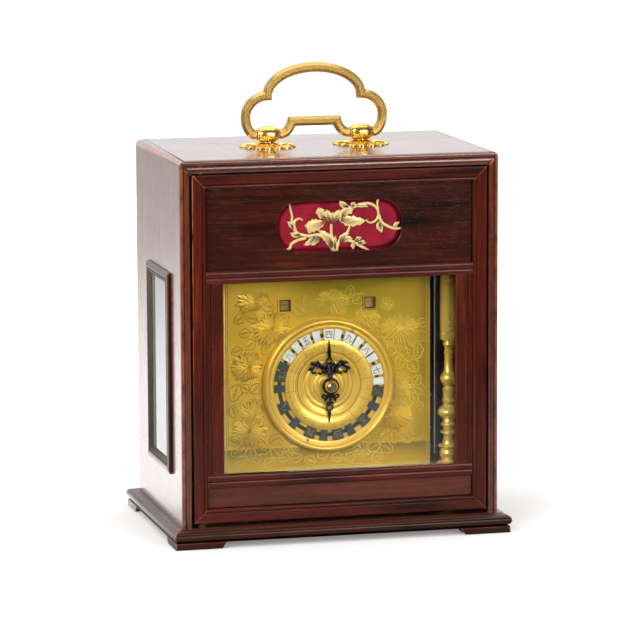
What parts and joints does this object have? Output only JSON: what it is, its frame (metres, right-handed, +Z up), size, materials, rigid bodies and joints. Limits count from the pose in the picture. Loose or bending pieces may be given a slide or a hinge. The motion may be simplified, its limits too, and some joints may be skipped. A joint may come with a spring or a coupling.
{
  "type": "pillow clock",
  "caption": "Small Japanese table clock: rosewood case with glazed front door and side windows, gilt carrying handle, round dial with sliding hour plaques, spring-driven movement inside.",
  "frame": {"origin": "middle of the base's footprint, on the surface that the feet stand on", "axes": "+X to the clock's left hand side as seen from the front right, +Y to the back, +Z up; the dial faces -Y"},
  "size_m": [0.128, 0.09, 0.1729],
  "materials": {
    "rosewood": "waxed, close dark grain",
    "plain_wood": "planed",
    "glass": "clear",
    "gilt_brass": "gilt, polished",
    "brass": "polished",
    "pale_gilt": "matt pale gilding, engraved",
    "red_silk": "woven silk",
    "blued_steel": "blued",
    "steel": "bright",
    "bell_metal": "turned",
    "silver_plaque": "silvered",
    "dark_plaque": "dark patinated alloy"
  },
  "bodies": {
    "case": {"base_moulding": "rosewood", "floor_board": "plain_wood", "case_left_side": "rosewood", "case_right_side": "rosewood", "case_top": "rosewood", "side_window_glass": "glass", "side_window_beads": "rosewood", "door_pivots": "steel", "handle_posts": "gilt_brass", "handle_rosettes": "gilt_brass", "handle_nuts": "brass", "movement_base_plate": "brass", "movement_top_plate": "brass", "corner_columns": "brass", "train_front_plate": "brass", "train_back_plate": "brass", "dial_plate": "gilt_brass", "dial_bezel": "gilt_brass", "dial_centre": "gilt_brass", "balance_cock": "brass", "bell": "bell_metal", "bell_stand": "brass", "fusee_chain": "steel"},
    "front_door": {"door_frame": "rosewood", "door_window_frame": "rosewood", "door_upper_panel": "rosewood", "door_lower_panel": "rosewood", "door_glass": "glass", "sound_fret": "pale_gilt", "silk_backing": "red_silk"},
    "back_door": {"back_door": "rosewood", "back_door_knob": "gilt_brass"},
    "handle": {"handle": "gilt_brass"},
    "stem_disc": {"stem_calendar_disc": "silver_plaque"},
    "branch_disc": {"branch_calendar_disc": "silver_plaque"},
    "hand": {"hand": "blued_steel", "hand_arbor": "steel"},
    "fusee": {"fusee": "brass"},
    "barrel": {"mainspring_barrel": "brass"},
    "second_wheel": {"second_wheel": "brass"},
    "third_wheel": {"third_wheel": "brass"},
    "crown_wheel": {"crown_wheel": "brass"},
    "balance": {"balance": "brass"},
    "strike_barrel": {"strike_barrel": "brass"},
    "pin_wheel": {"pin_wheel": "brass"},
    "fly": {"fly": "brass"},
    "count_wheel": {"count_wheel": "brass"},
    "hammer": {"hammer": "steel"},
    "hour_plaque_1": {"hour_plaque_1": "silver_plaque"},
    "hour_plaque_2": {"hour_plaque_2": "silver_plaque"},
    "hour_plaque_3": {"hour_plaque_3": "silver_plaque"},
    "hour_plaque_4": {"hour_plaque_4": "silver_plaque"},
    "hour_plaque_5": {"hour_plaque_5": "dark_plaque"},
    "hour_plaque_6": {"hour_plaque_6": "dark_plaque"},
    "hour_plaque_7": {"hour_plaque_7": "dark_plaque"},
    "hour_plaque_8": {"hour_plaque_8": "dark_plaque"},
    "hour_plaque_9": {"hour_plaque_9": "dark_plaque"},
    "hour_plaque_10": {"hour_plaque_10": "dark_plaque"},
    "hour_plaque_11": {"hour_plaque_11": "silver_plaque"},
    "hour_plaque_12": {"hour_plaque_12": "silver_plaque"}
  },
  "joints": [
    {"name": "front_door_swing", "type": "hinge", "parent": "case", "child": "front_door", "pos_m": [-0.0522, -0.0377, 0.0726], "axis": [0, 0, -1], "range_deg": [0, 100]},
    {"name": "back_door_swing", "type": "hinge", "parent": "case", "child": "back_door", "pos_m": [0.0522, 0.0377, 0.0726], "axis": [0, 0, -1], "range_deg": [0, 100]},
    {"name": "handle_fold", "type": "hinge", "parent": "case", "child": "handle", "pos_m": [0, 0, 0.1465], "axis": [1, 0, 0], "range_deg": [-90, 90]},
    {"name": "hand_turn", "type": "hinge", "parent": "case", "child": "hand", "pos_m": [0, -0.0235, 0.0546], "axis": [0, 1, 0], "continuous": true},
    {"name": "stem_disc_turn", "type": "hinge", "parent": "case", "child": "stem_disc", "pos_m": [-0.0162, -0.017, 0.0768], "axis": [0, 1, 0], "continuous": true},
    {"name": "branch_disc_turn", "type": "hinge", "parent": "case", "child": "branch_disc", "pos_m": [0.0162, -0.017, 0.0768], "axis": [0, 1, 0], "continuous": true},
    {"name": "third_wheel_turn", "type": "hinge", "parent": "case", "child": "third_wheel", "pos_m": [0.01336, 0, 0.08024], "axis": [0, 1, 0], "continuous": true},
    {"name": "second_wheel_turn", "type": "hinge", "parent": "case", "child": "second_wheel", "pos_m": [0.02116, 0, 0.0691], "axis": [0, 1, 0], "continuous": true},
    {"name": "fusee_turn", "type": "hinge", "parent": "case", "child": "fusee", "pos_m": [0.0144, 0, 0.0546], "axis": [0, 1, 0], "continuous": true},
    {"name": "barrel_turn", "type": "hinge", "parent": "case", "child": "barrel", "pos_m": [0.026, 0, 0.0328], "axis": [0, 1, 0], "continuous": true},
    {"name": "crown_wheel_turn", "type": "hinge", "parent": "case", "child": "crown_wheel", "pos_m": [-0.00019, 0, 0.08143], "axis": [0, 1, 0], "continuous": true},
    {"name": "pin_wheel_turn", "type": "hinge", "parent": "case", "child": "pin_wheel", "pos_m": [-0.01986, 0, 0.05345], "axis": [0, 1, 0], "continuous": true},
    {"name": "strike_barrel_turn", "type": "hinge", "parent": "case", "child": "strike_barrel", "pos_m": [-0.024, 0, 0.038], "axis": [0, 1, 0], "continuous": true},
    {"name": "fly_turn", "type": "hinge", "parent": "case", "child": "fly", "pos_m": [-0.01867, 0, 0.067], "axis": [0, 1, 0], "continuous": true},
    {"name": "count_wheel_turn", "type": "hinge", "parent": "case", "child": "count_wheel", "pos_m": [-0.00348, 0.0194, 0.04198], "axis": [0, 1, 0], "continuous": true},
    {"name": "balance_swing", "type": "hinge", "parent": "case", "child": "balance", "pos_m": [-0.00019, 0.0045, 0.1024], "axis": [0, 0, 1], "range_deg": [-40, 40], "stiffness_Nm_per_rad": 0.0002},
    {"name": "hammer_lift", "type": "hinge", "parent": "case", "child": "hammer", "pos_m": [-0.033, 0, 0.078], "axis": [0, -1, 0], "range_deg": [0, 12], "stiffness_Nm_per_rad": 0.02},
    {"name": "hour_plaque_1_slide", "type": "hinge", "parent": "case", "child": "hour_plaque_1", "pos_m": [0, -0.02, 0.0546], "axis": [0, 1, 0], "range_deg": [-4, 3.5]},
    {"name": "hour_plaque_2_slide", "type": "hinge", "parent": "case", "child": "hour_plaque_2", "pos_m": [0, -0.02, 0.0546], "axis": [0, 1, 0], "range_deg": [-3.5, 3]},
    {"name": "hour_plaque_3_slide", "type": "hinge", "parent": "case", "child": "hour_plaque_3", "pos_m": [0, -0.02, 0.0546], "axis": [0, 1, 0], "range_deg": [-3, 4]},
    {"name": "hour_plaque_4_slide", "type": "hinge", "parent": "case", "child": "hour_plaque_4", "pos_m": [0, -0.02, 0.0546], "axis": [0, 1, 0], "range_deg": [-4, 1.5]},
    {"name": "hour_plaque_5_slide", "type": "hinge", "parent": "case", "child": "hour_plaque_5", "pos_m": [0, -0.02, 0.0546], "axis": [0, 1, 0], "range_deg": [-1.5, 5]},
    {"name": "hour_plaque_6_slide", "type": "hinge", "parent": "case", "child": "hour_plaque_6", "pos_m": [0, -0.02, 0.0546], "axis": [0, 1, 0], "range_deg": [-5, 5]},
    {"name": "hour_plaque_7_slide", "type": "hinge", "parent": "case", "child": "hour_plaque_7", "pos_m": [0, -0.02, 0.0546], "axis": [0, 1, 0], "range_deg": [-5, 5]},
    {"name": "hour_plaque_8_slide", "type": "hinge", "parent": "case", "child": "hour_plaque_8", "pos_m": [0, -0.02, 0.0546], "axis": [0, 1, 0], "range_deg": [-5, 5]},
    {"name": "hour_plaque_9_slide", "type": "hinge", "parent": "case", "child": "hour_plaque_9", "pos_m": [0, -0.02, 0.0546], "axis": [0, 1, 0], "range_deg": [-5, 3.5]},
    {"name": "hour_plaque_10_slide", "type": "hinge", "parent": "case", "child": "hour_plaque_10", "pos_m": [0, -0.02, 0.0546], "axis": [0, 1, 0], "range_deg": [-3.5, 2.5]},
    {"name": "hour_plaque_11_slide", "type": "hinge", "parent": "case", "child": "hour_plaque_11", "pos_m": [0, -0.02, 0.0546], "axis": [0, 1, 0], "range_deg": [-2.5, 2.5]},
    {"name": "hour_plaque_12_slide", "type": "hinge", "parent": "case", "child": "hour_plaque_12", "pos_m": [0, -0.02, 0.0546], "axis": [0, 1, 0], "range_deg": [-2.5, 4]}
  ],
  "couplings": [
    {"joint": "second_wheel_turn", "follows": "third_wheel_turn", "ratio": -0.13333},
    {"joint": "fusee_turn", "follows": "third_wheel_turn", "ratio": 0.014815},
    {"joint": "barrel_turn", "follows": "third_wheel_turn", "ratio": 0.011211},
    {"joint": "hand_turn", "follows": "third_wheel_turn", "ratio": -0.002963},
    {"joint": "crown_wheel_turn", "follows": "third_wheel_turn", "ratio": -7.5},
    {"joint": "strike_barrel_turn", "follows": "pin_wheel_turn", "ratio": -0.11111},
    {"joint": "fly_turn", "follows": "pin_wheel_turn", "ratio": -7.5},
    {"joint": "count_wheel_turn", "follows": "pin_wheel_turn", "ratio": -0.11111}
  ]
}
